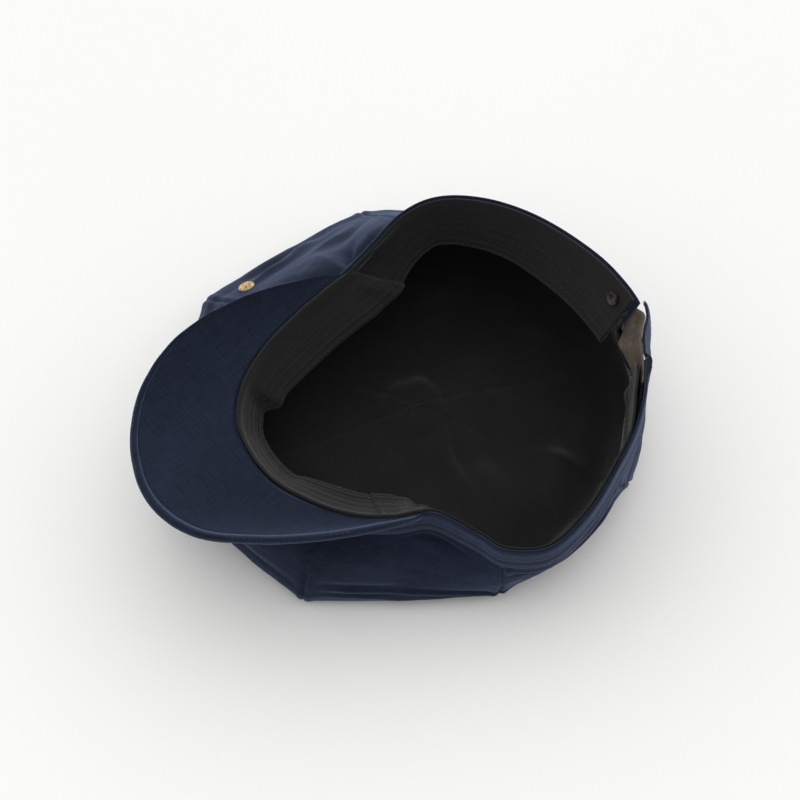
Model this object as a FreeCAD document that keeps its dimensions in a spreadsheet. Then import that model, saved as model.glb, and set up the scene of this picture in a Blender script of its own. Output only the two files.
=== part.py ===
import FreeCAD, Part
import math
import os

# Eight-panel newsboy cap lying upside down on its crown, in millimetres.
# +Z is up, the visor points to -Y, the adjuster is at +Y. The crown slumps, so the
# opening leans towards +X. "Panel count" s runs round the cap: 0 is the front seam,
# 2 the +X side seam, 4 the rear seam, 6 the -X side seam, and 8 is the front again.

V = FreeCAD.Vector
UP = V(0, 0, 1)
PANELS = 8

# Edge of the head opening: panel count, x, y, z.
RIM = [
    (0.0, 10, -88, 62), (0.35, 36, -83, 60), (0.7, 54, -69, 58), (1.0, 67, -52, 56),
    (1.28, 75, -34, 57), (1.5, 79, -17, 58), (1.8, 94, 0, 52), (2.0, 104, 9, 50),
    (2.3, 111, 28, 53), (2.65, 105, 48, 62), (3.0, 93, 66, 73), (3.35, 78, 82, 81),
    (3.7, 57, 95, 87), (4.05, 31, 104, 91), (4.4, 6, 100, 93), (4.75, -17, 89, 94),
    (5.1, -38, 74, 94), (5.45, -54, 56, 93), (5.8, -63, 36, 91), (6.1, -63, 18, 86),
    (6.4, -54, -3, 78), (6.65, -47, -18, 74), (7.0, -38, -41, 70), (7.35, -26, -63, 67),
    (7.7, -10, -80, 64),
]
# Widest edge of the crown at each of the eight seams, and the bow of the panel
# between that seam and the next.
CORNERS = [
    (2, -125, 9), (78, -81, 7), (107, 7, 7), (79, 88, 16),
    (5, 112, 18), (-70, 90, 18), (-114, 13, 18), (-91, -77, 16),
]
BOWS = [0.0, 1.0, 7.0, 8.0, 6.0, 6.0, 1.0, 3.0]
# Bulge of the crown's side between the band and the widest edge.
PUFFS = [(0, 8), (1, 5), (2, 2), (3, 0.5), (3.5, -1), (4, 4), (5, 8), (6, 2), (7, 6)]
# Outer edge of the visor from its +X end round the front to its -X end.
VISOR_EDGE = [
    (0.0, 80, -26, 59), (0.1, 79, -46, 61), (0.2, 76, -71, 63), (0.3, 69, -98, 65),
    (0.4, 56, -124, 66), (0.5, 33, -138, 67), (0.6, 4, -137, 68), (0.7, -22, -124, 71),
    (0.8, -40, -100, 76), (0.9, -48, -66, 79), (1.0, -49, -27, 76),
]
# How far the sweatband's free edge leans into the opening, degrees beyond the wall's own lean.
FLAP = [
    (0.0, 38), (0.6, 32), (1.1, 22), (1.5, 8), (2.0, 5), (2.3, 10), (2.9, 10), (3.3, 4), (3.8, 4),
    (4.3, 4), (5.4, 6), (6.0, 14), (6.5, 42), (7.0, 54), (7.6, 48),
]
# Outward run of the band's wall for each millimetre down from the rim.
SLOPE = [
    (0.0, 0.1), (2.0, 0.1), (3.2, 0.1), (3.6, 0.05), (3.78, -0.25), (3.95, -0.5), (4.2, -0.5),
    (4.6, -0.45), (5.2, -0.2), (5.8, 0.0), (6.4, 0.1), (7.0, 0.1),
]
DIMENSIONS = [
    ("centre_x", -3), ("centre_y", 4), ("shift_x", 0.38), ("shift_y", 13.06), ("shift_z", 0.33),
    ("band_height", 15), ("band_gauge", 1.4), ("panel_gauge", 1.0),
    ("lining_inset", 3.2), ("lining_gauge", 0.6), ("seam_gap", 0.3), ("lining_gap", 0.9),
    ("sweatband_width", 30), ("sweatband_gauge", 0.9), ("binding_width", 7),
    ("visor_clearance", 2.2), ("board_gauge", 2.0), ("cover_gauge", 1.0), ("cover_air", 0.4),
    ("board_inset", 0.025),
    ("piping_radius", 1.7), ("button_radius", 8.5), ("button_height", 3.9),
    ("shank_radius", 1.6), ("shank_length", 5.4),
    ("stud_radius", 4.6), ("stud_height", 2.2), ("post_radius", 1.2),
    ("washer_radius", 3.6), ("washer_gauge", 0.8), ("stud_at", 6.855), ("stud_down", 0.33),
    ("notch_radius", 14), ("notch_at", 3.955), ("strap_width", 14.2), ("strap_gauge", 1.4),
    ("strap_near", 3.62), ("strap_far", 4.39), ("tab_root", 3.68), ("tab_tip", 4.14),
    ("tab_gauge", 1.0), ("tab_lift", 0.2), ("tab_depth", 7.8), ("pad_gauge", 0.5),
    ("rivet_radius", 3.2), ("rivet_at", 4.29), ("rivet_drop", 8), ("rivet_height", 1.4),
    ("washer_depth", 3.7),
]

doc = FreeCAD.newDocument("newsboy_cap")
sheet = doc.addObject("Spreadsheet::Sheet", "sizes")


def fill_sheet():
    """Write every driving dimension into the sheet under its own alias."""
    rows = list(DIMENSIONS)
    for k, corner in enumerate(CORNERS):
        for axis, value in zip("xyz", corner):
            rows.append(("corner_%s_%s" % ("abcdefgh"[k], axis), value))
        rows.append(("bow_%s" % "abcdefgh"[k], BOWS[k]))
    for row, (alias, value) in enumerate(rows, start=1):
        sheet.set("A%d" % row, alias)
        sheet.set("B%d" % row, str(value))
        sheet.setAlias("B%d" % row, alias)
    doc.recompute()


def size(alias):
    return float(sheet.get(alias))


# ---------------------------------------------------------------- curves

def through(stations, s, period=None):
    """Smooth value at s through stations (key, values...); periodic if asked."""
    keys = [row[0] for row in stations]
    count = len(keys)
    if period:
        s = s % period
    k = max([i for i in range(count) if keys[i] <= s + 1e-9] or [count - 1])
    if not period:
        k = min(k, count - 2)

    def key(i):
        return keys[i % count] + period * (i // count) if period else keys[min(max(i, 0), count - 1)]

    def value(i, c):
        return stations[i % count][c] if period else stations[min(max(i, 0), count - 1)][c]

    span = key(k + 1) - key(k)
    f = (s - key(k)) / span
    result = []
    for c in range(1, len(stations[0])):
        a, b = value(k, c), value(k + 1, c)
        before = (b - value(k - 1, c)) / (key(k + 1) - key(k - 1)) * span
        after = (value(k + 2, c) - a) / (key(k + 2) - key(k)) * span
        result.append((2 * f ** 3 - 3 * f ** 2 + 1) * a + (f ** 3 - 2 * f ** 2 + f) * before
                      + (3 * f ** 2 - 2 * f ** 3) * b + (f ** 3 - f ** 2) * after)
    return result


def shifted(point):
    return V(point[0] + size("shift_x"), point[1] + size("shift_y"), point[2] + size("shift_z"))


def rim(s):
    return shifted(through(RIM, s, PANELS))


def outward(s):
    """Horizontal normal of the opening at s."""
    along = rim(s + 0.04) - rim(s - 0.04)
    normal = V(along.y, -along.x, 0)
    return normal.normalize()


def wall(s, down, out):
    """Point on the band: down from the rim along the wall, and out from it."""
    slope = through(SLOPE, s, PANELS)[0]
    return rim(s) + outward(s) * (out - 0.7 + slope * down) - UP * down


def upright(s, down, out):
    """Point beside the rim on a surface that hangs straight down."""
    return rim(s) + outward(s) * (out - 0.7) - UP * down


def centre():
    return shifted((size("centre_x"), size("centre_y"), 0))


def widest(s):
    """Point on the crown's widest edge, cornered at the seams."""
    k = int(math.floor(s)) % PANELS
    f = s - math.floor(s)
    here = "abcdefgh"[k]
    there = "abcdefgh"[(k + 1) % PANELS]
    a = V(*[size("corner_%s_%s" % (here, axis)) for axis in "xyz"])
    b = V(*[size("corner_%s_%s" % (there, axis)) for axis in "xyz"])
    chord = b - a
    side = V(chord.y, -chord.x, 0).normalize()
    return shifted(a + chord * f + side * (size("bow_" + here) * 4 * f * (1 - f)))


def crown_point(s, t):
    """Outer face of the crown: t is 0 at the band's seam and 1 at the button."""
    top = wall(s, size("band_height") + 0.5, 0.9)
    edge = widest(s)
    hub = centre()
    spoke = V(edge.x - hub.x, edge.y - hub.y, 0)
    reach = spoke.Length
    spoke.normalize()
    across = edge - top
    puff = (spoke * -across.z + UP * across.dot(spoke)).normalize()
    bulge = through(PUFFS, s, PANELS)[0]
    rows = [
        top,
        top + across * 0.36 + puff * bulge,
        top + across * 0.72 + puff * bulge * 0.8,
        edge,
        hub + spoke * (reach - 0.75 * edge.z) + UP * 1.5,
        hub + spoke * (reach * 0.72) + UP * 0.5,
        hub + spoke * (reach * 0.4) + UP * 1.0,
        hub + spoke * 19 + UP * 2.6,
        hub + spoke * 11 + UP * 4.9,
        hub + spoke * 5 + UP * 5.3,
    ]
    marks = [0.0, 0.17, 0.33, 0.46, 0.54, 0.66, 0.8, 0.91, 0.96, 1.0]
    stations = [(m, p.x, p.y, p.z) for m, p in zip(marks, rows)]
    return V(*through(stations, t))


def inward(s, t):
    """Unit normal of the crown's outer face, pointing into the cap."""
    t = min(max(t, 0.004), 0.996)
    along = crown_point(s + 0.04, t) - crown_point(s - 0.04, t)
    down = crown_point(s, t + 0.004) - crown_point(s, t - 0.004)
    return along.cross(down).normalize()


def visor_point(p, q, drop=0.0):
    """Upper face of the visor: p from the +X end to the -X end, q from the head out."""
    s = 1.47 - 2.84 * p
    inner = wall(s, 1.2, size("band_gauge") + size("visor_clearance"))
    outer = shifted(through(VISOR_EDGE, p))
    outer -= (outer - inner).normalize() * (2 * size("piping_radius"))
    sag = 3.0 * math.sin(math.pi * p) * math.sin(math.pi * q)
    return inner + (outer - inner) * q - UP * (sag + drop)


# ---------------------------------------------------------------- solids

def knots(count, degree):
    inner = count - degree - 1
    return list(range(inner + 2)), [degree + 1] + [1] * inner + [degree + 1]


def skin(rows):
    """Smooth face steered by a grid of points, cubic where there are enough."""
    u_degree, v_degree = min(3, len(rows) - 1), min(3, len(rows[0]) - 1)
    u_knots, u_mults = knots(len(rows), u_degree)
    v_knots, v_mults = knots(len(rows[0]), v_degree)
    surface = Part.BSplineSurface()
    surface.buildFromPolesMultsKnots(rows, u_mults, v_mults, u_knots, v_knots,
                                     False, False, u_degree, v_degree)
    return surface.toShape()


def slab(front, back):
    """Closed solid between two grids of points of the same size."""
    faces = [skin(front), skin(back)]
    for row in (0, -1):
        faces.append(skin([front[row], back[row]]))
        faces.append(skin([[line[row] for line in front], [line[row] for line in back]]))
    shell = Part.makeShell(faces)
    shell.sewShape()
    solid = Part.Solid(shell)
    if solid.Volume < 0:
        solid.reverse()
    return solid


def solid_feature(name, shape):
    feature = doc.addObject("Part::Feature", name)
    feature.Shape = shape
    feature.Placement = FreeCAD.Placement()
    return feature


def spread(low, high, count):
    return [low + (high - low) * i / (count - 1) for i in range(count)]


def name_part(obj, label):
    obj.Label = label
    finished.append(obj)
    return obj


def cylinder(name, radius, height, place):
    """Cylinder whose radius and height are sheet expressions."""
    obj = doc.addObject("Part::Cylinder", name)
    obj.setExpression("Radius", radius)
    obj.setExpression("Height", height)
    obj.Placement = place
    return obj


def cut(name, base, tool):
    obj = doc.addObject("Part::Cut", name)
    obj.Base = base
    obj.Tool = tool
    return obj


def rounded(name, base, radius, edge_test):
    """Round the edges of base that pass the test."""
    doc.recompute()
    obj = doc.addObject("Part::Fillet", name)
    obj.Base = base
    picked = [i for i, edge in enumerate(base.Shape.Edges, start=1) if edge_test(edge)]
    obj.Edges = [(i, radius, radius) for i in picked]
    return obj


def facing(position, direction):
    """Placement that puts local +Z along a direction."""
    return FreeCAD.Placement(position, FreeCAD.Rotation(UP, direction))


# ---------------------------------------------------------------- cap pieces

def stud_spot():
    """Where the stud sits on the crown's outer face, and the inward direction."""
    s, t = size("stud_at"), size("stud_down")
    return crown_point(s, t), inward(s, t)


def notch_tool():
    """Half-round opening in the rear edge, behind the strap."""
    s = size("notch_at")
    place = facing(wall(s, 6, -30), outward(s))
    return cylinder("notch_tool", "sizes.notch_radius", "sizes.notch_radius * 4", place)


def stud_tool():
    spot, into = stud_spot()
    place = facing(spot - into * 3, into)
    return cylinder("stud_hole", "sizes.post_radius + 0.2", "6", place)


def gore(label, k, inset, gauge, gap, tools):
    """One crown or lining panel between two seams."""
    margin = gap / 170
    across = spread(k + margin, k + 1 - margin, 9)
    along = spread(0.0, 1.0, 25)
    front = [[crown_point(s, t) + inward(s, t) * inset for s in across] for t in along]
    back = [[crown_point(s, t) + inward(s, t) * (inset + gauge) for s in across] for t in along]
    part = solid_feature(label + "_cloth", slab(front, back))
    for number, tool in enumerate(tools):
        part = cut("%s_cut_%d" % (label, number), part, tool)
    name_part(part, label)


def crown_and_lining():
    notch, hole = notch_tool(), stud_tool()
    for k in range(PANELS):
        tools = [notch] if k in (3, 4) else []
        extra = [hole] if k == int(size("stud_at")) else []
        gore("crown_panel_%d" % (k + 1), k, 0.0, size("panel_gauge"), size("seam_gap"), tools + extra)
        gore("lining_panel_%d" % (k + 1), k, size("lining_inset"), size("lining_gauge"),
             size("lining_gap"), tools)


def strip(label, s_values, depths, near, far):
    """Strip of cloth along the rim; near and far give the offset at (s, depth)."""
    front = [[wall(s, d, near(s, d)) for d in depths] for s in s_values]
    back = [[wall(s, d, far(s, d)) for d in depths] for s in s_values]
    name_part(solid_feature(label + "_cloth", slab(front, back)), label)


def band():
    """Outer band in a front and two side pieces, open at the rear notch."""
    height, gauge = size("band_height"), size("band_gauge")
    depths = spread(0, height, 4)
    limits = [("band_front", 6.66, 9.5), ("band_right", 1.506, 3.78), ("band_left", 4.13, 6.654)]
    for label, low, high in limits:
        count = int((high - low) * 12)
        strip(label, spread(low, high, count), depths, lambda s, d: 0.0, lambda s, d: gauge)


def sweat_point(s, across, lift):
    """Sweatband face: across runs from the sewn edge to the free edge."""
    angle = math.radians(through(FLAP, s, PANELS)[0])
    wall_lean = max(0.0, math.atan(-through(SLOPE, s, PANELS)[0]))
    turn = wall_lean + angle * min(1.0, across / 10.0)
    side = outward(s) * -1
    tuck = 2.4 * min(1.0, max(0.0, ((s % PANELS) - 3.3) / 0.25)) * ((s % PANELS) < 3.9)
    start = wall(s, 0.6, -0.7 - tuck)
    run = side * math.sin(turn) - UP * math.cos(turn)
    rise = side * math.cos(turn) + UP * math.sin(turn)
    return start + run * across + rise * lift


def sweatband():
    """Sweatband sewn in at the rim, with its bound free edge."""
    gauge, width, tape = size("sweatband_gauge"), size("sweatband_width"), size("binding_width")
    s_values = spread(4.16, 11.74, 92)
    spans = [("sweatband", 0.0, width, 0.0, gauge),
             ("sweatband_binding", width - tape, width - 0.5, gauge + 0.25, gauge + 0.75)]
    for label, start, stop, low, high in spans:
        steps = spread(start, stop, 6)
        front = [[sweat_point(s, a, low) for a in steps] for s in s_values]
        back = [[sweat_point(s, a, high) for a in steps] for s in s_values]
        name_part(solid_feature(label + "_cloth", slab(front, back)), label)


def visor():
    """Under cover, board and top cover, with a piped outer edge."""
    cover, board, air = size("cover_gauge"), size("board_gauge"), size("cover_air")
    inset = size("board_inset")
    layers = [("visor_under_cover", 0.0, cover, 0.0),
              ("visor_board", cover + air, cover + air + board, inset),
              ("visor_top_cover", cover + board + 2 * air, 2 * cover + board + 2 * air, 0.0)]
    for label, high, low, margin in layers:
        p_values, q_values = spread(margin / 4, 1.0 - margin / 4, 33), spread(margin, 1.0 - margin, 7)
        front = [[visor_point(p, q, high) for q in q_values] for p in p_values]
        back = [[visor_point(p, q, low) for q in q_values] for p in p_values]
        name_part(solid_feature(label + "_cloth", slab(front, back)), label)
    piping(cover + air + board / 2)


def piping(depth):
    """Round cord along the visor's outer edge, closed at its blunt ends."""
    radius = size("piping_radius")
    rings = []
    for p in spread(0.01, 0.99, 45):
        edge = visor_point(p, 1.0, depth)
        away = visor_point(p, 1.0, depth) - visor_point(p, 0.8, depth)
        away = V(away.x, away.y, 0).normalize()
        middle = edge + away * (radius + 0.35)
        rings.append((middle, away))
    turns = [math.radians(angle) for angle in range(20, 161, 20)]
    front = [[middle + away * (radius * math.cos(a)) + UP * (radius * math.sin(a)) for a in turns]
             for middle, away in rings]
    back = [[middle + away * (radius * math.cos(a)) - UP * (radius * math.sin(a)) for a in turns]
            for middle, away in rings]
    name_part(solid_feature("visor_piping_cord", slab(front, back)), "visor_piping")


def button():
    """Covered button under the crown's centre: cloth cup, disc and shank."""
    hub = centre()
    base = V(hub.x, hub.y, 0)
    shell = cylinder("button_outer", "sizes.button_radius", "sizes.button_height", facing(base, UP))
    bowl = rounded("button_dome", shell, 2.6, lambda e: abs(e.BoundBox.ZMax - base.z) < 1e-4)
    room = cylinder("button_room", "sizes.button_radius - 0.9", "sizes.button_height",
                    facing(base + UP * 0.9, UP))
    name_part(cut("button_cup", bowl, room), "button_cover")
    disc = cylinder("button_disc", "sizes.button_radius - 1.3", "sizes.button_height - 1.4",
                    facing(base + UP * 1.1, UP))
    name_part(disc, "button_core")
    shank = cylinder("button_stem", "sizes.shank_radius", "sizes.shank_length",
                     facing(base + UP * 3.8, UP))
    name_part(shank, "button_shank")


def stud():
    """Domed stud on the panel beside the visor, with its post and back washer."""
    spot, into = stud_spot()
    away = into * -1
    place = facing(spot + away * 0.35, away)
    disc = cylinder("stud_disc", "sizes.stud_radius", "sizes.stud_height", place)
    top = spot + away * (0.35 + size("stud_height"))
    domed = rounded("stud_dome", disc, 1.2, lambda e: e.CenterOfMass.distanceToPoint(top) < 0.5
                    and len(e.Vertexes) == 1)
    name_part(domed, "stud_cap")
    post = cylinder("stud_pin", "sizes.post_radius", "sizes.panel_gauge + 1.1",
                    facing(spot + away * 0.25, into))
    name_part(post, "stud_post")
    ring = cylinder("stud_ring", "sizes.washer_radius", "sizes.washer_gauge",
                    facing(spot + into * (size("panel_gauge") + 0.3), into))
    bore = cylinder("stud_bore", "sizes.post_radius + 0.15", "sizes.washer_gauge * 3",
                    facing(spot + into * (size("panel_gauge") - 0.5), into))
    name_part(cut("stud_back", ring, bore), "stud_washer")


def strap_offset(s):
    """Strap's inner face: outside the band beyond the notch, inside it on the near side."""
    outer, inner = size("band_gauge") + 0.4, -0.35 - size("strap_gauge")
    f = min(max((s - 3.8) / 0.31, 0.0), 1.0)
    return inner + (outer - inner) * f * f * (3 - 2 * f)


def strap():
    """Leather strap across the notch, riveted outside the band at its far end."""
    gauge = size("strap_gauge")
    s_values = spread(size("strap_near"), size("strap_far"), 22)
    depths = spread(0.8, 0.8 + size("strap_width"), 5)
    front = [[wall(s, d, strap_offset(s)) for d in depths] for s in s_values]
    back = [[wall(s, d, strap_offset(s) + gauge) for d in depths] for s in s_values]
    tool = cylinder("strap_hole", "sizes.post_radius + 0.2", "14", rivet_place(-7))
    body = solid_feature("strap_leather", slab(front, back))
    name_part(cut("strap_cut", body, tool), "leather_strap")


def rivet_axis():
    """Point on the band's outer face at the rivet, and the wall's true normal there."""
    s, drop = size("rivet_at"), size("rivet_drop")
    down = wall(s, drop + 1, 0) - wall(s, drop - 1, 0)
    along = wall(s + 0.02, drop, 0) - wall(s - 0.02, drop, 0)
    return wall(s, drop, 0), down.cross(along).normalize()


def rivet_point(out):
    point, normal = rivet_axis()
    return point + normal * out


def rivet_place(out):
    return facing(rivet_point(out), rivet_axis()[1])


def rear_tab():
    """Pointed cloth tab over the strap, its lining, and the hook and loop pads."""
    span = size("tab_tip") - size("tab_root")
    s_values = spread(size("tab_root"), size("tab_tip"), 15)
    width, gauge = size("strap_width") + 1, size("tab_gauge")

    def stand(s):
        along = (s - size("tab_root")) * 71.0
        return size("band_gauge") + 0.4 + size("tab_lift") * along

    def half(s):
        taper = max(0.0, (s - size("tab_tip") + 0.2) / 0.2)
        return (width / 2) * (1 - 0.82 * taper ** 1.3)

    layers = [("tab_lining", 0.0, 0.6), ("tab_cover", 0.7, 0.7 + gauge)]
    for label, low, high in layers:
        front, back = [], []
        for s in s_values:
            depths = [size("tab_depth") + half(s) * f for f in spread(-1, 1, 5)]
            front.append([upright(s, d, stand(s) + low) for d in depths])
            back.append([upright(s, d, stand(s) + high) for d in depths])
        name_part(solid_feature(label + "_cloth", slab(front, back)), label)
    pads(stand, span)


def pads(stand, span):
    """Hook pad inside the tab and loop pad on the strap, facing each other."""
    start = size("tab_root") + span * 0.45
    s_values = spread(start, start + span * 0.3, 6)
    depths = spread(3.5, 12, 3)
    gauge = size("pad_gauge")
    rows = [("tab_hook_pad", upright, lambda s: stand(s) - 0.1 - gauge),
            ("strap_loop_pad", wall, lambda s: strap_offset(s) + size("strap_gauge") + 0.1)]
    for label, place, level in rows:
        front = [[place(s, d, level(s)) for d in depths] for s in s_values]
        back = [[place(s, d, level(s) + gauge) for d in depths] for s in s_values]
        name_part(solid_feature(label + "_cloth", slab(front, back)), label)


def strap_rivet():
    """Two-piece rivet through the strap, the band and the sweatband."""
    outer = size("band_gauge") + 0.4 + size("strap_gauge")
    cap = cylinder("rivet_disc", "sizes.rivet_radius", "sizes.rivet_height", rivet_place(outer + 0.4))
    top = rivet_point(outer + 0.4 + size("rivet_height"))
    domed = rounded("rivet_dome", cap, 0.8, lambda e: e.CenterOfMass.distanceToPoint(top) < 0.5
                    and len(e.Vertexes) == 1)
    name_part(domed, "strap_rivet_cap")
    depth = size("washer_depth")
    ring = cylinder("rivet_ring", "sizes.rivet_radius", "sizes.washer_gauge", rivet_place(-depth))
    bore = cylinder("rivet_bore", "sizes.post_radius + 0.15", "4", rivet_place(-depth - 2))
    name_part(cut("rivet_back", ring, bore), "strap_rivet_washer")
    post = cylinder("rivet_pin", "sizes.post_radius", "sizes.strap_gauge + sizes.washer_depth + 1.9",
                    rivet_place(-depth))
    name_part(post, "strap_rivet_post")
    return cylinder("rivet_hole", "sizes.post_radius + 0.2", "14", rivet_place(-8))


def pierce(labels, tool):
    """Replace each named strip with the same strip holed for the rivet."""
    for label in labels:
        base = [obj for obj in finished if obj.Label == label][0]
        finished.remove(base)
        base.Label = label + "_plain"
        name_part(cut(label + "_pierced", base, tool), label)


def check_and_export():
    doc.recompute()
    for obj in doc.Objects:
        if "Invalid" in obj.State or "Error" in obj.State:
            raise RuntimeError("failed feature: " + obj.Name)
    os.makedirs("parts", exist_ok=True)
    for obj in finished:
        shape = obj.Shape
        if shape.isNull() or not shape.isValid() or shape.Volume <= 0 or len(shape.Solids) != 1:
            raise RuntimeError("bad shape: %s %d" % (obj.Label, len(shape.Solids)))
        shape.exportStep("parts/%s.step" % obj.Label)
    box = FreeCAD.BoundBox()
    for obj in finished:
        box.add(obj.Shape.BoundBox)
    print("pieces", len(finished), "box", box)


finished = []
fill_sheet()
crown_and_lining()
band()
sweatband()
visor()
button()
stud()
strap()
rear_tab()
pierce(["band_left", "sweatband"], strap_rivet())
check_and_export()
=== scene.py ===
import functools
import math

import bmesh
import bpy
import numpy as np
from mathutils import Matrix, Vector, noise


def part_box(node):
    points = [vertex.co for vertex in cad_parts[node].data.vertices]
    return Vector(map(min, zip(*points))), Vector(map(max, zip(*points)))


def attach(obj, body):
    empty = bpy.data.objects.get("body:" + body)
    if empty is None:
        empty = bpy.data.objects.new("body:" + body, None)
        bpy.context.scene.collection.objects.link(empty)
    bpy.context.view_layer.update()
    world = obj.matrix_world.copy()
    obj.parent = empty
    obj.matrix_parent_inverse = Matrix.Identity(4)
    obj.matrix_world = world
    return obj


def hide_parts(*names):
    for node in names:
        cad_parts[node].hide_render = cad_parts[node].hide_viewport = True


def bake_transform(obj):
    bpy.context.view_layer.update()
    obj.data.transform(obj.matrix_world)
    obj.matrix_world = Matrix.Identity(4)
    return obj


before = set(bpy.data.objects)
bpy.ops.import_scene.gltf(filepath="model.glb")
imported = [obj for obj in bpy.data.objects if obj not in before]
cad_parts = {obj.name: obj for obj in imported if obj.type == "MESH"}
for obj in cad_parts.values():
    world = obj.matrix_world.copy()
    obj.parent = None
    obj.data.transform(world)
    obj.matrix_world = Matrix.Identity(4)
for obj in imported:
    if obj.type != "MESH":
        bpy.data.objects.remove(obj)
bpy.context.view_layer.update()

# All shape tables are in millimetres, in the row frame before SHIFT. Panel count s runs
# round the cap: 0 front seam, 2 the +X seam, 4 the rear seam, 6 the -X seam.
MM = 0.001
PANELS = 8
SHIFT = np.array([0.38, 13.06, 0.33])
HUB = np.array([-3.0, 4.0, 0.0]) + SHIFT
# Sewn edge of the head opening: s, x, y, z.
RIM = [
    (0.0, 10, -88, 62), (0.35, 36, -83, 60), (0.7, 54, -69, 58), (1.0, 67, -52, 56),
    (1.28, 75, -34, 57), (1.5, 79, -17, 58), (1.8, 94, 0, 52), (2.0, 104, 9, 50),
    (2.3, 111, 28, 53), (2.65, 105, 48, 62), (3.0, 93, 66, 73), (3.35, 78, 82, 81),
    (3.7, 57, 95, 87), (4.05, 31, 104, 91), (4.4, 6, 100, 93), (4.75, -17, 89, 94),
    (5.1, -38, 74, 94), (5.45, -54, 56, 93), (5.8, -63, 36, 91), (6.1, -63, 18, 86),
    (6.4, -54, -3, 78), (6.65, -47, -18, 74), (7.0, -38, -41, 70), (7.35, -26, -63, 67),
    (7.7, -10, -80, 64),
]
# The crown's widest edge: a corner at each seam, then how far each panel bows out between them.
CORNERS = [
    (2, -125, 9), (78, -81, 7), (106, 7, 7), (75.5, 85, 16),
    (5, 112, 18), (-70, 90, 18), (-114, 13, 18), (-91, -77, 16),
]
BOWS = [0.0, 1.5, 5.0, 7.0, 6.0, 5.0, 2.5, 3.0]
# Fullness of the crown between the band and its widest edge: s, mm.
PUFFS = [(0, 8), (1, 5), (2, 2), (3, 0.5), (3.5, -1), (4, 4), (5, 8), (6, 2), (7, 6)]
# Outward run of the band for each mm down from the rim: s, ratio.
SLOPE = [
    (0.0, 0.1), (2.0, 0.1), (3.2, 0.1), (3.6, 0.05), (3.78, -0.25), (3.95, -0.5), (4.2, -0.5), (4.6, -0.45),
    (5.2, -0.2), (5.8, 0.0), (6.4, 0.1), (7.0, 0.1),
]
# The visor's outer edge from its +X end: share of its length, x, y, z.
VISOR_EDGE = [
    (0.0, 80, -26, 59), (0.1, 79, -46, 61), (0.2, 76, -71, 63), (0.3, 69, -98, 65),
    (0.4, 56, -124, 66), (0.5, 33, -138, 67), (0.6, 4, -137, 68), (0.7, -22, -124, 71),
    (0.8, -40, -100, 76), (0.9, -48, -66, 79), (1.0, -49, -27, 76),
]
BAND_HEIGHT = 15.0
BAND_FACE = 1.4
BAND_STITCHES = (9.5, 13.3)
SWEAT_STITCHES = (0.50, 0.66, 0.83, 0.94)
FRONT = (-1.42, 1.53)  # where the visor is sewn over the band
VISOR_START, VISOR_SPAN = 1.47, 2.84
VISOR_HALF = 2.3  # half its thickness
EDGE_INSET = 1.9
NOTCH = (3.78, 4.13)
TAB = (3.68, 4.16)
STRAP = (3.62, 4.39)
STRAP_HOLES = (3.80, 3.92, 4.04, 4.16)
TAB_MIDDLE = 7.8  # depth of its centre line below the rim
PADS = (3.887, 4.025)
NOTCH_MIDDLE = 3.955
NOTCH_RADIUS = 14.0
NOTCH_CENTRE = 6.0  # depth below the rim
CLOTH_TOP = -0.08  # t of the crown's upper edge, under the band
REAR_PITCH = 71.0  # mm of rim in one panel count at the rear
CREASE_SCALE = np.array([78.0, 170.0])  # mm per unit of s and t
UP = np.array([0.0, 0.0, 1.0])


# ------------------------------------------------------------------ curves

def through(stations, s, period=None):
    """Smooth value at s through stations (key, values...)."""
    keys = [row[0] for row in stations]
    count = len(keys)
    if period:
        s = s % period
    k = max([i for i in range(count) if keys[i] <= s + 1e-9] or [count - 1])
    if not period:
        k = min(k, count - 2)

    def key(i):
        if period:
            return keys[i % count] + period * (i // count)
        return keys[min(max(i, 0), count - 1)]

    def row(i):
        picked = stations[i % count] if period else stations[min(max(i, 0), count - 1)]
        return np.array(picked[1:], float)

    span = key(k + 1) - key(k)
    f = (s - key(k)) / span
    a, b = row(k), row(k + 1)
    before = (b - row(k - 1)) / (key(k + 1) - key(k - 1)) * span
    after = (row(k + 2) - a) / (key(k + 2) - key(k)) * span
    return ((2 * f ** 3 - 3 * f ** 2 + 1) * a + (f ** 3 - 2 * f ** 2 + f) * before
            + (3 * f ** 2 - 2 * f ** 3) * b + (f ** 3 - f ** 2) * after)


def smooth(x):
    """Soft step from 0 to 1."""
    x = np.clip(x, 0.0, 1.0)
    return x * x * (3 - 2 * x)


def bump_at(x, centre, width):
    return np.exp(-((x - centre) / width) ** 2)


def unit(v):
    return v / np.linalg.norm(v)


@functools.lru_cache(maxsize=None)
def rim(s):
    return through(RIM, s, PANELS) + SHIFT


@functools.lru_cache(maxsize=None)
def outward(s):
    along = rim(s + 0.04) - rim(s - 0.04)
    return unit(np.array([along[1], -along[0], 0.0]))


@functools.lru_cache(maxsize=None)
def wall_slope(s):
    return through(SLOPE, s, PANELS)[0]


def wall(s, down, out):
    """Point on the band: down from the rim along the wall, and out from it."""
    return rim(s) + outward(s) * (out - 0.7 + wall_slope(s) * down) - UP * down


def upright(s, down, out):
    return rim(s) + outward(s) * (out - 0.7) - UP * down


@functools.lru_cache(maxsize=None)
def widest(s):
    """Point on the crown's widest edge, cornered at the seams."""
    k = int(math.floor(s)) % PANELS
    f = s - math.floor(s)
    a = np.array(CORNERS[k], float)
    b = np.array(CORNERS[(k + 1) % PANELS], float)
    chord = b - a
    side = unit(np.array([chord[1], -chord[0], 0.0]))
    return a + chord * f + side * (BOWS[k] * 4 * f * (1 - f)) + SHIFT


# ------------------------------------------------------------------ crown surface

# The t at which each of the crown's rows lies.
MARKS = [-0.10, -0.03, 0.0, 0.17, 0.33, 0.46, 0.54, 0.66, 0.8, 0.91, 0.96, 1.0, 1.04]


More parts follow.
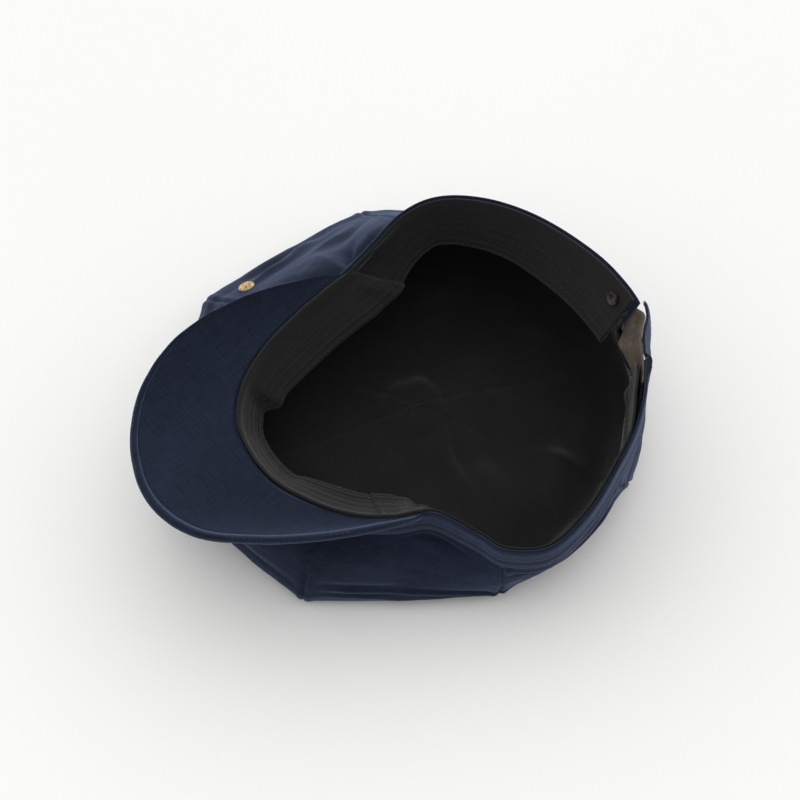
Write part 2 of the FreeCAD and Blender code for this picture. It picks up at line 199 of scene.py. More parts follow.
def crown_rows(s):
    """Points that the crown's outer face passes through at s, rim to button."""
    top = wall(s, BAND_HEIGHT + 0.5, 0.6)
    edge = widest(s)
    spoke = edge - HUB
    spoke[2] = 0.0
    reach = np.linalg.norm(spoke)
    spoke = spoke / reach
    across = edge - top
    puff = unit(spoke * -across[2] + UP * across.dot(spoke))
    bulge = through(PUFFS, s, PANELS)[0]
    base = HUB.copy()
    return np.array([
        wall(s, 2.5, -0.35),
        wall(s, 11.0, -0.35),
        top,
        top + across * 0.36 + puff * bulge,
        top + across * 0.72 + puff * bulge * 0.8,
        edge,
        base + spoke * (reach - 0.75 * (edge[2] - SHIFT[2])) + UP * 1.5,
        base + spoke * (reach * 0.72) + UP * 0.5,
        base + spoke * (reach * 0.4) + UP * 1.0,
        base + spoke * 19 + UP * 2.6,
        base + spoke * 11 + UP * 4.9,
        base + spoke * 5 + UP * 5.3,
        base + spoke * 0.02 + UP * 5.3,
    ])


def basis(t_values):
    """Weights of the crown's rows at each t."""
    count = len(MARKS)
    table = []
    for t in t_values:
        table.append([through([(m, 1.0 if i == j else 0.0) for i, m in enumerate(MARKS)], t)[0]
                      for j in range(count)])
    return np.array(table)


def crown_grid(s_values, t_values):
    weights = basis(t_values)
    rows = []
    for s in s_values:
        own = weights if notch_start(s) <= CLOTH_TOP else basis([notched(s, t) for t in t_values])
        rows.append(own @ crown_rows(s))
    return np.array(rows)


def normals(grid, closed):
    """Unit normals of grid[s][t], pointing out of the cap; straight down round the button."""
    if closed:
        ds = np.roll(grid, -1, 0) - np.roll(grid, 1, 0)
    else:
        ds = np.gradient(grid, axis=0)
    dt = np.gradient(grid, axis=1)
    n = np.cross(dt, ds)
    n = n / np.maximum(np.linalg.norm(n, axis=2, keepdims=True), 1e-9)
    n[:, -6:] = -UP
    return n


def fractal(point, scale, octaves=3, seed=0.0):
    """Smooth noise about zero; scale is its largest wavelength in mm."""
    v = Vector((point[0] / scale + seed, point[1] / scale + seed * 1.7, point[2] / scale - seed))
    return noise.fractal(v, 0.8, 2.1, octaves)


def seam_profile(distance):
    """Sewn seam: a narrow valley between two soft ridges, in mm."""
    return -0.9 * np.exp(-(distance / 0.8) ** 2) + 0.45 * np.exp(-((distance - 2.6) / 1.6) ** 2)


# Start (s, t), end (s, t), half width in mm, height in mm.
CREASES = [
    ((6.50, 0.00), (6.30, 0.20), 3.0, -5.2), ((6.44, 0.05), (6.12, 0.12), 2.6, -3.4),
    ((6.50, 0.06), (6.50, 0.27), 4.0, 2.8), ((6.56, 0.04), (6.76, 0.22), 3.0, -3.0),
    ((6.38, 0.02), (6.22, 0.08), 2.6, 2.4), ((6.80, 0.33), (6.50, 0.35), 3.0, 2.6),
    ((6.52, 0.35), (6.34, 0.40), 3.0, 2.4), ((6.76, 0.385), (6.42, 0.42), 3.0, -2.2),
    ((6.32, 0.22), (6.08, 0.30), 4.0, -2.2), ((6.22, 0.30), (6.44, 0.28), 4.0, 2.0),
    ((1.42, 0.025), (1.74, 0.05), 2.4, -1.8), ((1.50, 0.06), (1.68, 0.13), 3.0, 1.3),
    ((1.12, 0.375), (1.92, 0.40), 2.2, 1.1), ((1.06, 0.33), (1.5, 0.35), 3.0, -0.9),
    ((2.08, 0.10), (2.5, 0.15), 3.0, -1.4), ((2.30, 0.20), (2.9, 0.25), 3.2, -1.5),
    ((2.20, 0.15), (3.0, 0.18), 3.0, 1.5), ((2.60, 0.31), (3.3, 0.28), 3.0, -1.2),
    ((3.10, 0.10), (3.5, 0.20), 4.0, -1.5), ((4.10, 0.08), (4.5, 0.24), 5.0, 1.5),
    ((5.10, 0.12), (5.4, 0.30), 5.0, -1.5), ((7.20, 0.10), (7.6, 0.26), 5.0, 1.5),
]


def crease_height(s, t):
    """Sum of the pressed-in creases and ridges, each along a line in s and t."""
    total = 0.0
    here = np.array([s % PANELS, t]) * CREASE_SCALE
    for start, end, width, height in CREASES:
        a = np.array(start) * CREASE_SCALE
        d = np.array(end) * CREASE_SCALE - a
        f = float(np.clip((here - a).dot(d) / d.dot(d), 0, 1))
        gap = np.linalg.norm(here - a - d * f)
        if gap < width * 3:
            total += height * math.sin(math.pi * (0.15 + 0.8 * f)) * math.exp(-(gap / width) ** 2)
    return total


def crown_relief(s, t, point):
    """Outward height of seams, puckers, gathers and folds on the crown's cloth."""
    lean = 0.16 * bump_at(s, 1.0, 0.4) * smooth((0.5 - t) / 0.45)
    nearest = abs(s + lean - round(s + lean))
    width = np.linalg.norm(widest(s)[:2] - HUB[:2]) * 0.79 * (1 - 0.25 * max(0.0, 0.3 - t) / 0.3)
    if t > 0.5:
        width *= max(0.05, (1 - t) / 0.5)
    side = nearest * width
    height = seam_profile(side) * smooth(t / 0.03) * smooth((1.0 - t) / 0.04)
    height += 0.16 * fractal(point, 5.0, 2, 12.0) * math.exp(-side / 4.0) * smooth((0.5 - t) / 0.1)
    shown = smooth((0.52 - t) / 0.08) * smooth((t + 0.02) / 0.06)
    gather = smooth((s - 1.95) / 0.4) * smooth((3.95 - s) / 0.5)
    swing = fractal(point, 60.0, 2, 3.0)
    ridge = math.sin((t * 150 + 7 * swing + 3 * math.sin(s * 5)) * 0.27)
    height += shown * gather * (0.6 + 0.7 * swing) * 1.6 * ridge
    height += shown * crease_height(s, t)
    height += shown * (1.3 * fractal(point, 46.0, 2, 1.0) + 0.4 * fractal(point, 13.0, 3, 5.0))
    along = fractal(widest(s), 34.0, 2, 8.0)
    fold = bump_at(t, 0.436 + 0.012 * math.sin(s * 9) + 0.01 * along, 0.02)
    height += (0.5 + 0.5 * along) * fold * smooth((t - 0.3) / 0.1)
    height -= (0.6 + 0.6 * along) * bump_at(t, 0.385 + 0.014 * math.sin(s * 6 + 1), 0.02)
    return height


def notch_start(s):
    """Where the cloth starts at s: it is hollowed under the rear adjuster."""
    x = (s % PANELS - NOTCH_MIDDLE) * REAR_PITCH
    if abs(x) >= NOTCH_RADIUS:
        return CLOTH_TOP
    depth = NOTCH_CENTRE + math.sqrt(NOTCH_RADIUS ** 2 - x * x)
    return float(np.interp(depth, [2.5, 11.0, 15.5, 20.5], [-0.10, -0.03, 0.0, 0.027]))


def notched(s, t):
    """Crowd the rows below the notch's edge."""
    start = notch_start(s)
    if start <= CLOTH_TOP or t > 0.14:
        return t
    return start + (t - CLOTH_TOP) / 0.22 * (0.14 - start)


# ------------------------------------------------------------------ mesh building

def link(mesh, name):
    obj = bpy.data.objects.new(name, mesh)
    bpy.context.scene.collection.objects.link(obj)
    return obj


def shade_smooth(mesh):
    mesh.polygons.foreach_set("use_smooth", [True] * len(mesh.polygons))


def thick_grid(name, front, back, closed=False, uv=None):
    """Closed mesh between two grids [rows][columns] of points in mm."""
    front, back = np.array(front, float), np.array(back, float)
    rows, cols = front.shape[:2]
    verts = np.concatenate([front.reshape(-1, 3), back.reshape(-1, 3)]) * MM
    half = rows * cols

    def at(i, j, side):
        return (i % rows) * cols + j + side * half

    faces = []
    last = rows if closed else rows - 1
    for i in range(last):
        for j in range(cols - 1):
            faces.append((at(i, j, 0), at(i + 1, j, 0), at(i + 1, j + 1, 0), at(i, j + 1, 0)))
            faces.append((at(i, j, 1), at(i, j + 1, 1), at(i + 1, j + 1, 1), at(i + 1, j, 1)))
    for i in range(last):
        faces.append((at(i, 0, 0), at(i, 0, 1), at(i + 1, 0, 1), at(i + 1, 0, 0)))
        faces.append((at(i, cols - 1, 0), at(i + 1, cols - 1, 0),
                      at(i + 1, cols - 1, 1), at(i, cols - 1, 1)))
    if not closed:
        for j in range(cols - 1):
            faces.append((at(0, j, 0), at(0, j + 1, 0), at(0, j + 1, 1), at(0, j, 1)))
            faces.append((at(rows - 1, j, 0), at(rows - 1, j, 1),
                          at(rows - 1, j + 1, 1), at(rows - 1, j + 1, 0)))
    mesh = bpy.data.meshes.new(name)
    mesh.from_pydata(verts.tolist(), [], faces)
    add_uv(mesh, front, rows, cols, half, closed, uv)
    mesh.update()
    shade_smooth(mesh)
    obj = link(mesh, name)
    orient(obj)
    return obj


def orient(obj):
    bm = bmesh.new()
    bm.from_mesh(obj.data)
    bmesh.ops.recalc_face_normals(bm, faces=bm.faces)
    bm.to_mesh(obj.data)
    bm.free()


def add_uv(mesh, grid, rows, cols, half, closed, uv):
    """UV map 'cloth' whose unit is 100 mm along the rows and columns."""
    if uv is None:
        along = np.linalg.norm(np.diff(grid, axis=0), axis=2).mean(axis=1)
        across = np.linalg.norm(np.diff(grid, axis=1), axis=2).mean(axis=0)
        u = np.concatenate([[0], np.cumsum(along)]) / 100.0
        v = np.concatenate([[0], np.cumsum(across)]) / 100.0
        uv = np.stack(np.meshgrid(u, v, indexing="ij"), axis=2)
    layer = mesh.uv_layers.new(name="cloth")
    flat = np.array(uv).reshape(-1, 2)
    step = uv[-1][0][0] - uv[-2][0][0] if closed else 0
    total = uv[-1][0][0] + step
    data = []
    for polygon in mesh.polygons:
        rows_used = [(mesh.loops[i].vertex_index % half) // cols for i in polygon.loop_indices]
        wraps = closed and max(rows_used) - min(rows_used) > rows / 2
        for i, row in zip(polygon.loop_indices, rows_used):
            index = mesh.loops[i].vertex_index % half
            u, v = flat[index]
            data.extend((u + (total if wraps and row < rows / 2 else 0.0), v))
    layer.data.foreach_set("uv", data)


def spread(low, high, count):
    return [low + (high - low) * i / (count - 1) for i in range(count)]


def stitches(name, runs, pitch=3.2, length=2.3, radius=0.26):
    """Sewing stitches along runs of (points, normals) in mm, as one mesh."""
    verts, faces = [], []
    sides = 6
    profile = [(-0.5, 0.25, -0.25), (-0.38, 0.8, 0.0), (0.0, 1.0, 0.12), (0.38, 0.8, 0.0),
               (0.5, 0.25, -0.25)]
    for points, ups in runs:
        points, ups = np.array(points, float), np.array(ups, float)
        steps = np.linalg.norm(np.diff(points, axis=0), axis=1)
        where = np.concatenate([[0], np.cumsum(steps)])
        count = int(where[-1] / pitch)
        for n in range(count):
            middle = (n + 0.5) * pitch
            ring_start = len(verts)
            for at, fat, lift in profile:
                d = min(max(middle + at * length, 0.0), where[-1])
                p = np.array([np.interp(d, where, points[:, c]) for c in range(3)])
                q = np.array([np.interp(min(d + 0.2, where[-1]), where, points[:, c]) for c in range(3)])
                r = np.array([np.interp(max(d - 0.2, 0), where, points[:, c]) for c in range(3)])
                up = unit(np.array([np.interp(d, where, ups[:, c]) for c in range(3)]))
                side = unit(np.cross(unit(q - r), up))
                for k in range(sides):
                    a = 2 * math.pi * k / sides
                    ray = side * math.cos(a) + up * math.sin(a)
                    verts.append(p + up * (radius * lift * 2) + ray * radius * fat)
            for ring in range(len(profile) - 1):
                for k in range(sides):
                    a = ring_start + ring * sides + k
                    b = ring_start + ring * sides + (k + 1) % sides
                    faces.append((a, b, b + sides, a + sides))
            faces.append(tuple(ring_start + k for k in reversed(range(sides))))
            end = ring_start + (len(profile) - 1) * sides
            faces.append(tuple(end + k for k in range(sides)))
    mesh = bpy.data.meshes.new(name)
    mesh.from_pydata((np.array(verts) * MM).tolist(), [], faces)
    mesh.update()
    shade_smooth(mesh)
    return link(mesh, name)


# ------------------------------------------------------------------ materials

def node(tree, kind, **values):
    made = tree.nodes.new(kind)
    for key, value in values.items():
        setattr(made, key, value)
    return made


def new_material(name):
    """Material with its tree, its shader and the object's own coordinates."""
    mat = bpy.data.materials.new(name)
    mat.use_nodes = True
    tree = mat.node_tree
    space = node(tree, "ShaderNodeTexCoord").outputs["Object"]
    return mat, tree, tree.nodes["Principled BSDF"], space


def mixed(tree, factor, dark, light):
    """Colour between dark and light."""
    mix = node(tree, "ShaderNodeMix", data_type="RGBA", clamp_factor=True)
    tree.links.new(factor, mix.inputs["Factor"])
    mix.inputs["A"].default_value = (*dark, 1)
    mix.inputs["B"].default_value = (*light, 1)
    return mix.outputs["Result"]


def bumped(tree, shader, height, strength, distance):
    relief = node(tree, "ShaderNodeBump")
    relief.inputs["Strength"].default_value = strength
    relief.inputs["Distance"].default_value = distance
    tree.links.new(height, relief.inputs["Height"])
    tree.links.new(relief.outputs["Normal"], shader.inputs["Normal"])


def noise_on(tree, vector, scale, detail, stretch=(1, 1, 1), offset=(0, 0, 0)):
    """Noise texture on a stretched copy of a vector; returns its value output."""
    mapping = node(tree, "ShaderNodeMapping")
    mapping.inputs["Scale"].default_value = stretch
    mapping.inputs["Location"].default_value = offset
    tree.links.new(vector, mapping.inputs["Vector"])
    texture = node(tree, "ShaderNodeTexNoise")
    texture.inputs["Scale"].default_value = scale
    texture.inputs["Detail"].default_value = detail
    tree.links.new(mapping.outputs["Vector"], texture.inputs["Vector"])
    return texture.outputs["Fac"]


def maths(tree, operation, a, b):
    made = node(tree, "ShaderNodeMath", operation=operation)
    for socket, value in zip(made.inputs, (a, b)):
        if isinstance(value, (int, float)):
            socket.default_value = value
        else:
            tree.links.new(value, socket)
    return made.outputs[0]


def wave_on(tree, vector, period, direction):
    wave = node(tree, "ShaderNodeTexWave", wave_type="BANDS", bands_direction=direction)
    wave.inputs["Scale"].default_value = 0.314 / period
    wave.inputs["Distortion"].default_value = 1.2
    wave.inputs["Detail"].default_value = 1.0
    wave.inputs["Detail Scale"].default_value = 0.6
    tree.links.new(vector, wave.inputs["Vector"])
    return wave.outputs["Fac"]


def cloth(name, dark, light, slub=0.5, thread=0.0055, bump=0.35, sheen=0.4, tint=(0.8, 0.85, 1.0),
          rough=0.88, gloss=0.25, lint=0.0):
    """Woven cloth: slubbed threads both ways, a fine plain weave and a soft sheen."""
    mat, tree, shader, space = new_material(name)
    uv = node(tree, "ShaderNodeUVMap", uv_map="cloth").outputs["UV"]
    weft = noise_on(tree, uv, 1.0, 4.0, (9, 190, 1))
    warp = noise_on(tree, uv, 1.0, 4.0, (170, 8, 1), (3, 5, 0))
    patch = noise_on(tree, space, 22.0, 4.0)
    grain = noise_on(tree, uv, 160.0, 2.0)
    streak = maths(tree, "ADD", maths(tree, "MULTIPLY", weft, 0.55), maths(tree, "MULTIPLY", warp, 0.45))
    mix = maths(tree, "MULTIPLY", maths(tree, "SUBTRACT", streak, 0.5), 4.2 * slub)
    for value, share in ((patch, 1.1), (grain, 1.2)):
        part = maths(tree, "MULTIPLY", maths(tree, "SUBTRACT", value, 0.5), share)
        mix = maths(tree, "ADD", mix, part)
    colour = mixed(tree, maths(tree, "ADD", mix, 0.5), dark, light)
    if lint:
        specks = noise_on(tree, space, 900.0, 1.0)
        mask = node(tree, "ShaderNodeMapRange")
        mask.inputs["From Min"].default_value = 0.76
        mask.inputs["From Max"].default_value = 0.82
        mask.inputs["To Max"].default_value = lint
        tree.links.new(specks, mask.inputs["Value"])
        dusty = node(tree, "ShaderNodeMix", data_type="RGBA")
        tree.links.new(mask.outputs["Result"], dusty.inputs["Factor"])
        tree.links.new(colour, dusty.inputs["A"])
        dusty.inputs["B"].default_value = (0.25, 0.25, 0.27, 1)
        colour = dusty.outputs["Result"]
    tree.links.new(colour, shader.inputs["Base Color"])
    weave = maths(tree, "MULTIPLY", wave_on(tree, uv, thread, "X"), wave_on(tree, uv, thread, "Y"))
    slubs = maths(tree, "MULTIPLY", streak, 1.6 * slub)
    height = maths(tree, "ADD", maths(tree, "MULTIPLY", weave, 0.5), slubs)
    bumped(tree, shader, maths(tree, "ADD", height, maths(tree, "MULTIPLY", grain, 0.4)), bump, 0.0005)
    shader.inputs["Roughness"].default_value = rough
    shader.inputs["Specular IOR Level"].default_value = gloss
    shader.inputs["Sheen Weight"].default_value = sheen
    shader.inputs["Sheen Roughness"].default_value = 0.45
    shader.inputs["Sheen Tint"].default_value = (*tint, 1)
    return mat


def metal(name, dark, light, rough):
    """Antiqued metal: dark in the hollows and patches, rubbed bright elsewhere."""
    mat, tree, shader, space = new_material(name)
    patch = noise_on(tree, space, 420.0, 4.0)
    fine = noise_on(tree, space, 2600.0, 2.0)
    factor = maths(tree, "ADD", maths(tree, "MULTIPLY", maths(tree, "SUBTRACT", patch, 0.5), 3.0), 0.55)
    tree.links.new(mixed(tree, factor, dark, light), shader.inputs["Base Color"])
    worn = maths(tree, "ADD", maths(tree, "MULTIPLY", patch, 0.25), rough - 0.12)
    tree.links.new(worn, shader.inputs["Roughness"])
    bumped(tree, shader, maths(tree, "ADD", patch, maths(tree, "MULTIPLY", fine, 0.4)), 0.25, 0.0001)
    shader.inputs["Metallic"].default_value = 1.0
    return mat


def leather(name, dark, light):
    """Brushed tan hide with pores and faint scuffs."""
    mat, tree, shader, space = new_material(name)
    patch = noise_on(tree, space, 160.0, 5.0)
    pores = node(tree, "ShaderNodeTexVoronoi")
    pores.inputs["Scale"].default_value = 1500.0
    tree.links.new(space, pores.inputs["Vector"])
    factor = maths(tree, "ADD", maths(tree, "MULTIPLY", maths(tree, "SUBTRACT", patch, 0.5), 2.4), 0.5)
    tree.links.new(mixed(tree, factor, dark, light), shader.inputs["Base Color"])
    bumped(tree, shader, maths(tree, "ADD", pores.outputs["Distance"], patch), 0.4, 0.0002)
    shader.inputs["Roughness"].default_value = 0.7
    return mat


def plain(name, dark, light, rough, scale=180.0, bump=0.2):
    """Moulded or spun surface with a fine grain."""
    mat, tree, shader, space = new_material(name)
    patch = noise_on(tree, space, scale, 4.0)
    tree.links.new(mixed(tree, patch, dark, light), shader.inputs["Base Color"])
    bumped(tree, shader, patch, bump, 0.0002)
    shader.inputs["Roughness"].default_value = rough
    return mat


NAVY = cloth("navy_linen", (0.0041, 0.0064, 0.0138), (0.0107, 0.0162, 0.0335), slub=0.8, sheen=0.35,
             tint=(0.42, 0.52, 0.86), rough=0.85, gloss=0.12, lint=0.1)
BLACK = cloth("black_cotton", (0.0044, 0.0044, 0.0048), (0.0090, 0.0090, 0.0094), slub=0.25, thread=0.004,
              bump=0.3, sheen=0.2, tint=(1.0, 1.0, 1.0), lint=0.08)
SWEAT = cloth("black_twill", (0.0050, 0.0050, 0.0053), (0.0100, 0.0100, 0.0103), slub=0.3, thread=0.006,
              bump=0.45, sheen=0.14, tint=(1.0, 0.99, 0.97))
NAVY_THREAD = plain("navy_thread", (0.006, 0.008, 0.016), (0.020, 0.026, 0.046), 0.6, 900.0)
BLACK_THREAD = plain("black_thread", (0.004, 0.004, 0.004), (0.012, 0.012, 0.012), 0.55, 900.0)
BRASS = metal("antique_brass", (0.06, 0.036, 0.016), (0.40, 0.26, 0.115), 0.42)
GILT = metal("rubbed_brass", (0.15, 0.10, 0.048), (0.56, 0.41, 0.215), 0.42)
STEEL = metal("blackened_steel", (0.02, 0.02, 0.021), (0.16, 0.155, 0.15), 0.42)
TAN = leather("tan_hide", (0.045, 0.034, 0.024), (0.092, 0.07, 0.05))
BOARD = plain("visor_board_sheet", (0.10, 0.10, 0.10), (0.16, 0.16, 0.155), 0.6)
TAPE = plain("fastener_pile", (0.006, 0.007, 0.012), (0.03, 0.032, 0.045), 0.95, 1400.0, 1.0)


def dress(obj, mat, body=None, nodes=()):
    obj.data.materials.clear()
    obj.data.materials.append(mat)
    if body:
        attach(obj, body)
    if nodes:
        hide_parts(*nodes)
    return obj


def bend_with_visor(obj):
    """The front of the head opening is sewn to the visor; this only bakes the object's transform into its
    mesh.
    """
    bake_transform(obj)


# ------------------------------------------------------------------ crown and lining

def refine_s(per_panel):
    """Panel counts crowded towards the seams and towards the notch's ends."""
    values = []
    for k in range(PANELS):
        for i in range(per_panel):
            f = i / per_panel
            values.append(k + f - 0.11 * math.sin(2 * math.pi * f) / (2 * math.pi) * 6)
    values += [NOTCH_MIDDLE + side * x / REAR_PITCH
               for side in (-1, 1) for x in (10.5, 12.2, 13.2, 13.9, 14.05)]
    return sorted(v + 1e-6 for v in values)


def crown_piece():
    s_values = refine_s(34)
    t_values = spread(CLOTH_TOP, 0.0, 6)[:-1] + spread(0.0, 0.56, 74) + spread(0.56, 1.0, 34)[1:]
    grid = crown_grid(s_values, t_values)
    out = normals(grid, True)
    relief = np.array([[crown_relief(s, notched(s, t), grid[i][j]) for j, t in enumerate(t_values)]
                       for i, s in enumerate(s_values)])
    base = smooth_floor(grid + out * relief[:, :, None], 0.05)
    inner = base - out * 0.8
    obj = thick_grid("crown_cloth", base, inner, closed=True, uv=panel_uv(s_values, t_values, grid))
    dress(obj, NAVY, "crown", ["crown_panel_%d" % (k + 1) for k in range(PANELS)])


def smooth_floor(points, level):
    """Cloth rests on the table: nothing goes under it."""
    points = points.copy()
    points[:, :, 2] = np.where(points[:, :, 2] < level, level, points[:, :, 2])
    return points


def panel_uv(s_values, t_values, grid):
    """Each panel's cloth has its grain along its own middle."""
    uv = np.zeros((len(s_values), len(t_values), 2))
    for i, s in enumerate(s_values):
        lengths = np.concatenate([[0], np.cumsum(np.linalg.norm(np.diff(grid[i], axis=0), axis=1))])
        uv[i, :, 0] = s * 0.85
        uv[i, :, 1] = lengths / 100.0
    return uv


def crease(point, start, end, width, height):
    """Soft ridge along a line on the lining's floor, in plan; it fades past both ends."""
    a, b = np.array(start, float), np.array(end, float)
    d = b - a
    length = np.linalg.norm(d)
    d = d / length
    p = np.array(point[:2]) - a
    along, across = p.dot(d), p[0] * d[1] - p[1] * d[0]
    reach = 0.42 * length
    across += 2.0 * math.sin(along / 9.0)
    return height * math.exp(-((along - length / 2) / reach) ** 2) * math.exp(-(across / width) ** 2)


# Start (x, y), end (x, y), half width, height, all in mm.
FOLDS = [
    ((-14, 24), (84, 25), 7.0, 3.0), ((-10, 34), (84, 36), 8.0, 2.4), ((-12, 29), (84, 30), 2.6, -2.6),
    ((14, -8), (42, -2), 7.0, 1.6), ((14, -2), (40, 5), 6.0, -1.2),
    ((-28, 78), (-4, 92), 7.0, 3.2), ((26, 80), (52, 92), 6.0, 1.6),
    ((40, 60), (62, 88), 5.0, 2.8), ((-40, 30), (-60, 60), 8.0, 2.4),
    ((55, 5), (90, 5), 6.0, 2.2), ((20, -40), (50, -30), 7.0, 2.0),
    ((60, 55), (84, 62), 4.5, 2.6), ((-30, 40), (20, 62), 9.0, 1.4), ((30, 74), (78, 66), 5.0, 2.6),
]


def lining_piece():
    s_values = refine_s(22)
    t_values = spread(CLOTH_TOP, 0.5, 60) + spread(0.5, 1.04, 54)[1:]
    grid = crown_grid(s_values, t_values)
    out = normals(grid, True)
    front, back = np.zeros_like(grid), np.zeros_like(grid)
    for i, s in enumerate(s_values):
        for j, t in enumerate(t_values):
            p = grid[i][j]
            t = notched(s_values[i], t)
            depth = 2.9 * smooth((t + 0.03) / 0.05) + 0.9
            slack = smooth((t - 0.02) / 0.12)
            height = 2.6 * (fractal(p, 42.0, 2, 9.0) + 0.35) + 0.5 * fractal(p, 14.0, 2, 2.0)
            for start, end, width, lift in FOLDS:
                height += crease(p, start, end, width, lift)
            side = abs(s - round(s)) * 70.0 * (1.0 if t < 0.5 else max(0.05, (1 - t) / 0.5))
            height -= 0.35 * math.exp(-(side / 1.2) ** 2)
            depth += max(slack * height, -1.2)
            front[i][j] = p - out[i][j] * depth
            back[i][j] = p - out[i][j] * (depth - 0.5)
    obj = thick_grid("lining_cloth", front, back, closed=True, uv=panel_uv(s_values, t_values, grid))
    dress(obj, BLACK, "crown", ["lining_panel_%d" % (k + 1) for k in range(PANELS)])


# ------------------------------------------------------------------ band

# Depth below the rim and distance out, for the band's two faces.
BAND_PROFILE = [
    (0.0, 0.70), (0.3, 1.1), (1.0, 1.42), (2.4, 1.55), (3.8, 1.5), (5.0, 1.28), (6.4, 1.22), (8.2, 1.24),
    (9.0, 1.14), (9.5, 0.98), (10.0, 1.16), (11.4, 1.3), (12.7, 1.16), (13.3, 0.98), (13.9, 1.08),
    (14.9, 0.75), (15.5, 0.1),
]
BAND_INSIDE = [
    (0.0, 0.5), (0.3, 0.22), (1.0, 0.08), (2.4, 0.0), (3.8, 0.0), (5.0, 0.0), (6.4, 0.0), (8.2, 0.0),
    (9.0, 0.0), (9.5, 0.0), (10.0, 0.0), (11.4, 0.0), (12.7, 0.0), (13.3, 0.0), (13.9, 0.0), (14.7, 0.0),
    (15.0, 0.0),
]


def front_share(s):
    """1 where the visor is sewn over the band's upper edge, 0 elsewhere."""
    phase = (s + 4.0) % PANELS - 4.0
    return float(smooth((phase - FRONT[0]) / 0.14) * smooth((FRONT[1] - phase) / 0.14))


def band_wave(s, d):
    """Slight puckering along the sewn band."""
    p = rim(s)
    broad = 0.35 * fractal(p, 22.0, 2, 7.0) * smooth(d / 5.0)
    return broad + 0.05 * fractal(p, 4.0, 2, 2.0) * smooth(d / 2.0)


def band_piece():
    s_values = spread(NOTCH[1], NOTCH[0] + PANELS, 520)
    front, back = [], []
    for s in s_values:
        drop = 2.6 * front_share(s)
        front.append([wall(s, max(d, drop + 0.12 * d), o + band_wave(s, d)) for d, o in BAND_PROFILE])
        back.append([wall(s, max(d, drop + 0.12 * d + 0.1), o + min(0.0, band_wave(s, d)) * 0.6)
                     for d, o in BAND_INSIDE])
    obj = thick_grid("band_cloth", front, back)
    dress(obj, NAVY, None, ["band_front", "band_left", "band_right"])
    bend_with_visor(obj)
    runs = []
    for depth in BAND_STITCHES:
        points = [wall(s, depth, 1.0 + band_wave(s, depth)) for s in s_values]
        runs.append((points, [outward(s) for s in s_values]))
    sewn = stitches("band_stitching", runs, 2.6, 1.9, 0.2)
    dress(sewn, NAVY_THREAD)
    bend_with_visor(sewn)


# ------------------------------------------------------------------ sweatband

# The sweatband's lean into the opening (s, degrees) and its width (s, mm).
FLAP = [
    (0.0, 33), (0.4, 42), (0.7, 54), (1.0, 58), (1.3, 56), (1.45, 36), (1.6, 10), (2.0, 5), (2.3, 9),
    (2.9, 9), (3.3, 4), (3.8, 2), (4.3, 3), (5.2, 5), (5.8, 12), (6.1, 30), (6.35, 46), (6.6, 52), (7.0, 50),
    (7.5, 50), (7.62, 48), (7.70, 30), (7.78, 28),
]
WIDTHS = [
    (0.0, 25), (0.6, 25), (1.2, 25), (1.5, 26), (2.0, 30), (3.0, 30), (4.4, 30), (5.6, 30),
    (6.2, 29), (6.6, 27), (7.0, 27), (7.3, 26), (7.5, 24.5), (7.63, 25), (7.70, 22), (7.78, 23),
]


def sweat_lean(s):
    return math.radians(through(FLAP, s, PANELS)[0])


def sweat_width(s):
    return through(WIDTHS, s, PANELS)[0]


def sweat_point(s, share, lift):
    """Sweatband face: share runs 0 at the sewn edge to 1 at the free edge."""
    across = share * sweat_width(s)
    lean = sweat_lean(s)
    side = -outward(s)
    phase = s % PANELS
    wall_lean = max(0.0, math.atan(-wall_slope(s))) * (0.35 if phase < 3.9 else 1.0)
    tuck = 2.4 * min(1.0, max(0.0, (phase - 3.3) / 0.25)) * (phase < 3.9)
    rolled = front_share(s)
    start = wall(s, 0.6 - 0.5 * rolled, -0.7 - tuck + 1.0 * rolled)
    turn_at = 8.0
    point = start.copy()
    steps = 6
    for k in range(steps):
        a = across * (k + 0.5) / steps
        angle = wall_lean + lean * min(1.0, (a / turn_at) ** 1.2)
        angle += rolled * 0.9 * math.exp(-a / 1.2)
        point = point + (side * math.sin(angle) - UP * math.cos(angle)) * (across / steps)
    angle = wall_lean + lean * min(1.0, (across / turn_at) ** 1.2)
    rise = side * math.cos(angle) + UP * math.sin(angle)
    return point + rise * lift


def pleat(phase, centre, width, power):
    """Tucked fold: a crest with a sharp valley beside it."""
    x = (phase - centre) / width
    return power * (math.exp(-x * x) - 1.2 * math.exp(-((x - 1.5) / 0.55) ** 2))


def sweat_relief(s, share):
    """Pleats and slack of the sweatband, in mm."""
    p = rim(s)
    loose = smooth((share - 0.1) / 0.4)
    height = 0.9 * loose * fractal(p + np.array([0, 0, share * 20]), 34.0, 2, 4.0)
    height += 0.12 * fractal(p + np.array([0, 0, share * 25]), 9.0, 2, 6.0)
    phase = s % PANELS
    skew = phase + 0.30 * share
    height -= 4.0 * smooth((share - 0.02) / 0.2) * smooth((6.60 - skew) / 0.03) * smooth((skew - 6.15) / 0.4)
    height += 1.2 * loose * bump_at(skew, 6.68, 0.05)
    height += 0.8 * smooth((share - 0.04) / 0.2) * pleat(phase - 0.05 * share, 1.34, 0.03, 1.2)
    height += 0.7 * smooth((share - 0.04) / 0.2) * pleat(phase + 0.12 * share, 1.20, 0.025, -0.8)
    height += 0.5 * loose * bump_at(phase + 0.1 * share, 0.62, 0.05)
    height -= 0.3 * (bump_at(share, 0.50, 0.02) + bump_at(share, 0.66, 0.02))
    return height


def sweat_rise(share):
    """Thickness of the twill with its double binding at the free edge."""
    body = 0.85 if share > 0.03 else 0.45
    binding = 0.55 * smooth((share - 0.785) / 0.012) - 0.35 * bump_at(share, 0.885, 0.012)
    if share > 0.98:
        binding = 0.05
    return body, binding


